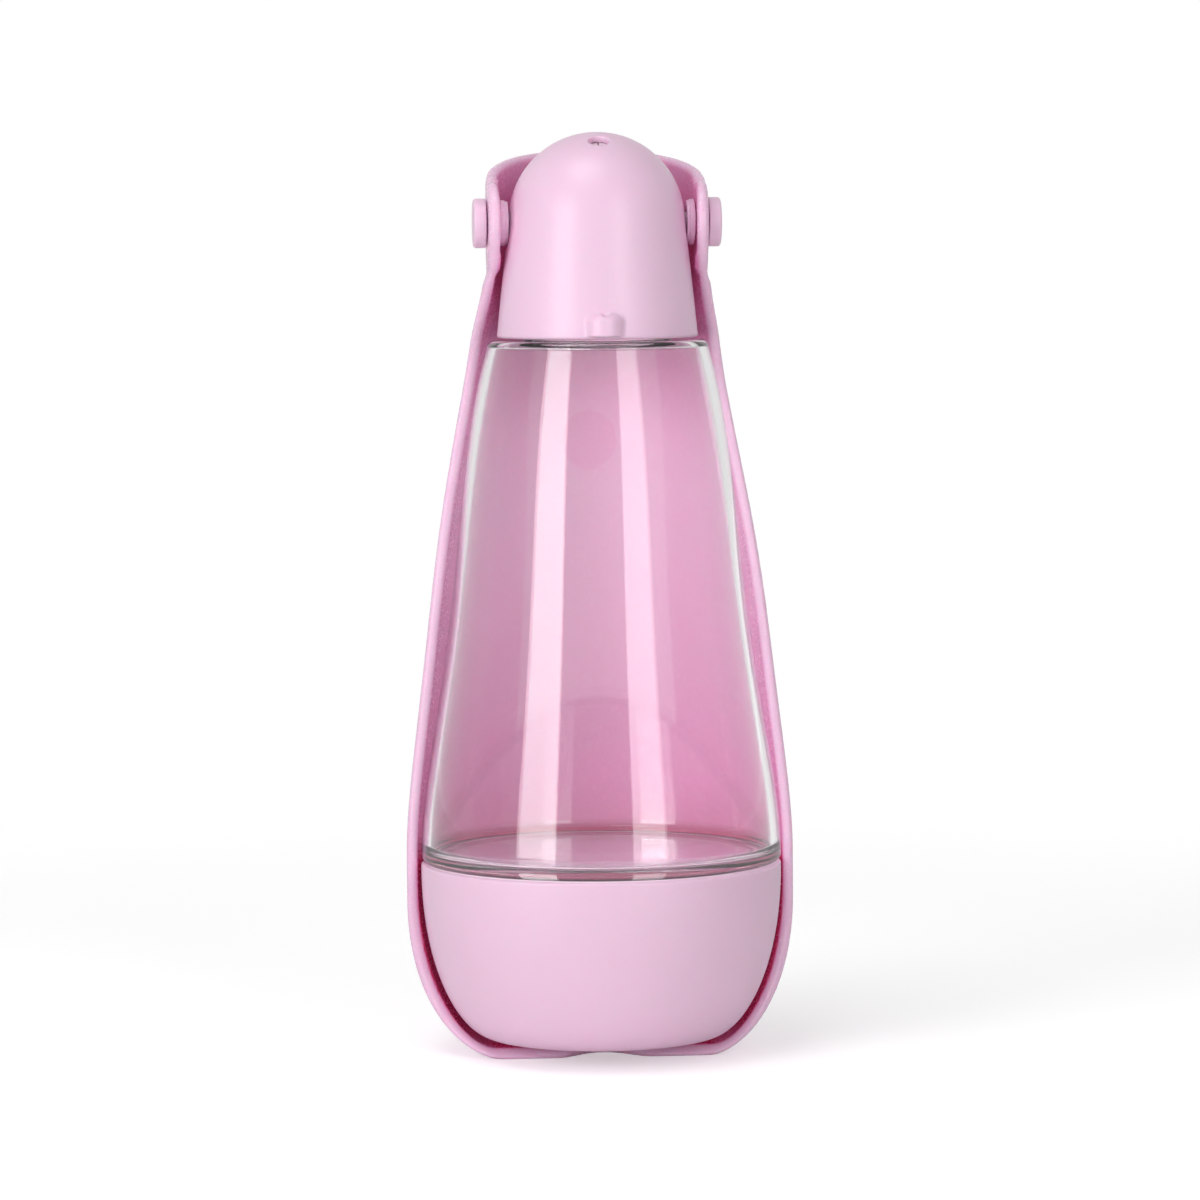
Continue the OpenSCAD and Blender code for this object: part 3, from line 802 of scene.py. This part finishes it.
def rimLine():
    # the rim seen from the side, as (y, z), from the foot's front over the ear to behind the hood
    side, back = trough["rimSide"], trough["rimBack"]
    ear, lean = trough["earRadius"], math.radians(trough["earLean"])
    front, tall, rise = -trough["footFront"], bottle["height"], trough["footRise"]
    neck = shoulderZ - trough["rimDrop"] * ear
    start, middle, end = [jointZ + share * tall for share in trough["rimTurns"]]
    return np.vstack([
        [(front, -past)],
        curve([(front, 0), (front / 2, rise / 2), (side, rise), (side, jointZ)], 40),
        curve([(side, start), (side, middle), (back, end), (back, neck)], 30),
        curve([
            (back, neck), (back, shoulderZ + trough["rimUp"]), (0, earBase - ear),
            (-ear * math.cos(lean), pivotZ - ear * math.sin(lean))
        ], 40)[1:],
        arc((0, pivotZ), ear, 180 + trough["earLean"], 90, 50)[1:],
        curve([
            (0, pivotZ + ear), (ear, pivotZ + trough["hoodBend"] * ear), (hoodRadius, hoodTop)
        ], 30)[1:],
        [(hoodRadius + past, hoodTop)],
    ])


def troughWall(radius, z):
    # distances from the wall's outside and from its inside
    return [fromLine(troughSection(inset), radius, z) for inset in (0, trough["wall"])]


def markCover(x, y, z, soft):
    # 1 on the round mark in the back wall, with a soft edge
    spot = np.hypot(x.value, z.value - jointZ - trough["markUp"])
    return np.clip((trough["markRadius"] - spot) / soft + 0.5, 0, 1) * (y.value > 0)


def footNotch(x, y, z):
    # a smooth bay in the front edge of the foot
    deep, half = trough["notchDepth"] / 2, trough["notchHalf"]
    bend = np.pi / half
    inNotch = np.abs(x.value) < half
    reach = deep * (1 + np.cos(bend * x.value)) * inNotch - trough["footFront"]
    slope = -deep * bend * np.sin(bend * x.value) * inNotch
    lean = 1 / np.sqrt(1 + slope ** 2)
    low = z.value < trough["footThickness"] + trough["notchOver"]
    value = np.where(low, (reach - y.value) * lean, -50)
    return Field(value, np.column_stack([slope * lean, -lean, 0 * lean]))


def troughShape(points):
    x, y, z = axes(points)
    outer, inner = troughWall(size(x, y), z)
    cover = markCover(x, y, z, trough["markSoft"])
    inner = inner - trough["markDepth"] * cover ** 2 * (3 - 2 * cover)
    middle = (outer + inner).times(0.5)
    half = (inner - outer).times(0.5)
    rim = larger(-fromLine(rimLine(), y, z), footNotch(x, y, z), trough["notchEase"])
    wall = size(middle, above(rim + half)) - half

    outwards = magnitude(x)
    fromPivot = size(y, z - pivotZ)
    earMiddle = (pivot["earIn"] + pivot["earOut"]) / 2
    earHalf = (pivot["earOut"] - pivot["earIn"]) / 2
    earRadius, earReach = trough["earRadius"], trough["earReach"]
    ear = size(outwards - earMiddle, above(rim + earHalf)) - earHalf
    ear = roundedCorner(ear, fromPivot - (earRadius + earReach), trough["earEdge"])
    wall = smaller(wall, ear, trough["earFillet"])
    around = -fromPivot + (earRadius + 2 * earReach)
    face = smaller(outwards - pivot["earOut"], around, trough["faceEase"])
    wall = larger(wall, face, trough["faceFillet"])
    ease = trough["insideEase"]
    inside = smaller(smaller(-outwards + pivot["earIn"], -y, ease), z - earBase, ease)
    wall = larger(wall, inside, trough["insideFillet"])
    hole = fromPivot - (pivot["journalRadius"] + pivot["run"])
    return larger(wall, -hole, trough["holeEase"])


def troughPaintedShade(points):
    # painted shade: 1 where light only comes in by way of the plastic itself: inside, and most of
    # all low down
    x, y, z = axes(points)
    outer, inner = troughWall(size(x, y), z)
    depth = (outer.value + inner.value) * -0.5      # from the middle of the wall towards its inside
    inside = np.clip((depth - trough["depthStart"]) / trough["depthSpread"], 0, 1)
    height = np.interp(z.value, trough["depthHeights"], trough["depthShares"])
    # the round mark in the back wall is painted darker too, as painted shade
    mark = markCover(x, y, z, trough["markTintSoft"]) * (depth > 0)
    return np.clip(np.maximum(inside, mark) * (height + trough["markShare"] * mark), 0, 1)


# the trough carries its painted shade as a point attribute
troughShell = finished(shaped("trough", troughShape, trough["voxel"], troughPaintedShade), "glossPink")
placed(troughShell, "trough", "trough")
print("trough ready")


for node, name in (("cap_liner", "whitePlastic"), ("neck_seal", "silicone"),
                   ("outlet_valve", "silicone"), ("cup_seal", "silicone")):
    finished(frame["nodes"][node], name)


studio = {
    "floorSize": 12.0, "floorFade": (0.22, 0.5), "floorColour": 0.9,
    "floorGlow": 0.42, "floorGloss": 0.05, "floorRoughness": 0.12,
    "worldBack": 0.78, "worldFront": 0.68, "worldTurn": (0.3, 0.95), "worldDiffuse": 0.33,
}
photo = {      # the fitted camera: millimetres, degrees, and the focal length in pixels
    "distance": 1262.0, "height": 205.8, "azimuth": -4.4,
    "pitch": 4.35, "roll": -0.4, "pan": -0.008,
    "focal": 5260.0, "frame": 1200.0, "sensor": 36,
}


def makeFloorPlane():
    edge = studio["floorSize"] / 2 / mm
    corners = [(-edge, -edge, 0), (edge, -edge, 0), (edge, edge, 0), (-edge, edge, 0)]
    obj = newObject("floor", corners, [(0, 1, 2, 3)])
    made = bpy.data.materials.new("studioFloor")
    made.use_nodes = True
    made.node_tree.nodes.clear()
    add = nodeMaker(made.node_tree)
    ray = add("LightPath", {})
    seen = add("Math", {      # straight, or through the clear bottle
        0: ray.outputs["Is Camera Ray"], 1: ray.outputs["Is Transmission Ray"],
    }, operation="MAXIMUM").outputs["Value"]
    strength = add("Math", {0: seen, 1: studio["floorGlow"]}, operation="MULTIPLY")
    glow = add("Emission", {"Strength": strength.outputs["Value"]})
    diffuse = add("BsdfDiffuse", {"Color": (*[studio["floorColour"]] * 3, 1)})
    gloss = add("BsdfGlossy", {"Roughness": studio["floorRoughness"]})
    mix = add("MixShader", {
        "Fac": studio["floorGloss"], 1: diffuse.outputs["BSDF"], 2: gloss.outputs["BSDF"],
    })
    lit = add("AddShader", {0: mix.outputs["Shader"], 1: glow.outputs["Emission"]})
    place = add("TexCoord", {})
    reach = add("VectorMath", {0: place.outputs["Object"]}, operation="LENGTH")
    near, far = studio["floorFade"]
    fade = add("MapRange", {      # plain white away from the object
        "Value": reach.outputs["Value"], "From Min": near, "From Max": far,
    }, interpolation_type="SMOOTHSTEP")
    both = add("Math", {0: fade.outputs["Result"], 1: seen}, operation="MULTIPLY")
    white = add("Emission", {})
    backdrop = add("MixShader", {
        "Fac": both.outputs["Value"], 1: lit.outputs["Shader"], 2: white.outputs["Emission"],
    })
    add("OutputMaterial", {"Surface": backdrop.outputs["Shader"]})
    obj.data.materials.append(made)


def makeWorld():
    world = bpy.data.worlds.new("studio")
    bpy.context.scene.world = world
    world.use_nodes = True
    add = nodeMaker(world.node_tree)
    place = add("TexCoord", {})
    split = add("SeparateXYZ", {"Vector": place.outputs["Generated"]})
    start, end = studio["worldTurn"]
    front = add("MapRange", {      # dim in front of the object, white behind it
        "Value": split.outputs["Y"], "From Min": start, "From Max": end,
        "To Min": studio["worldFront"], "To Max": studio["worldBack"],
    }, interpolation_type="SMOOTHSTEP")
    ray = add("LightPath", {})
    diffuse = add("Mix", {
        "Factor": ray.outputs["Is Diffuse Ray"],
        "A": front.outputs["Result"], "B": studio["worldDiffuse"],
    }, data_type="FLOAT")
    straight = add("Mix", {
        "Factor": ray.outputs["Is Camera Ray"], "A": diffuse.outputs["Result"], "B": 1.0,
    }, data_type="FLOAT")
    wired(world.node_tree, world.node_tree.nodes["Background"], {
        "Strength": straight.outputs["Result"], "Color": (1, 1, 1, 1),
    })


lamps = {
    # azimuth from the camera's side (negative is left), distance, height of the middle,
    # width, height, radiance
    "leftStrip": (-46, 1.25, 0.36, 0.57, 0.8, 5.1),
    "rightStrip": (27, 1.25, 0.38, 0.48, 0.8, 3.2),
    "overhead": (-40, 0.5, 1.4, 0.65, 0.65, 3.9),
}
overheadFrom = 1.0      # lamps above this height look down, the others level
overheadAim = 0.1


def makeLamp(name, azimuth, distance, height, width, tall, radiance):
    data = bpy.data.lights.new(name, "AREA")
    data.shape = "RECTANGLE"
    data.size, data.size_y = width, tall
    data.energy = radiance * math.pi * width * tall
    lamp = bpy.data.objects.new(name, data)
    bpy.context.scene.collection.objects.link(lamp)
    a = math.radians(azimuth)
    lamp.location = (math.sin(a) * distance, -math.cos(a) * distance, height)
    aim = Vector((0, 0, overheadAim)) - lamp.location
    if height < overheadFrom:
        aim.z = 0
    lamp.rotation_euler = aim.to_track_quat("-Z", "Y").to_euler()


def makeCamera():
    data = bpy.data.cameras.new("camera")
    data.sensor_fit = "HORIZONTAL"
    data.sensor_width = photo["sensor"]
    data.lens = photo["sensor"] * photo["focal"] / photo["frame"]
    data.clip_start, data.clip_end = 0.05, 50
    camera = bpy.data.objects.new("camera", data)
    bpy.context.scene.collection.objects.link(camera)
    a = math.radians(photo["azimuth"])
    place = Vector((math.sin(a), -math.cos(a), 0)) * photo["distance"] * mm
    place.z = photo["height"] * mm
    heading, tilt = photo["azimuth"] + photo["pan"], 90 - photo["pitch"]
    stand = Matrix.Translation(place)
    for angle, axis in ((heading, "Z"), (tilt, "X"), (photo["roll"], "Z")):
        stand = stand @ Matrix.Rotation(math.radians(angle), 4, axis)
    camera.matrix_world = stand
    bpy.context.scene.camera = camera


makeFloorPlane()
makeWorld()
for lampName, lampSettings in lamps.items():
    makeLamp(lampName, *lampSettings)
makeCamera()
bpy.context.scene.view_settings.view_transform = "Standard"
for path, limit in (("max", 20), ("transmission", 20), ("glossy", 6), ("diffuse", 6)):
    # clear walls and narrow gaps pass light on
    setattr(bpy.context.scene.cycles, path + "_bounces", limit)
print("stage ready")
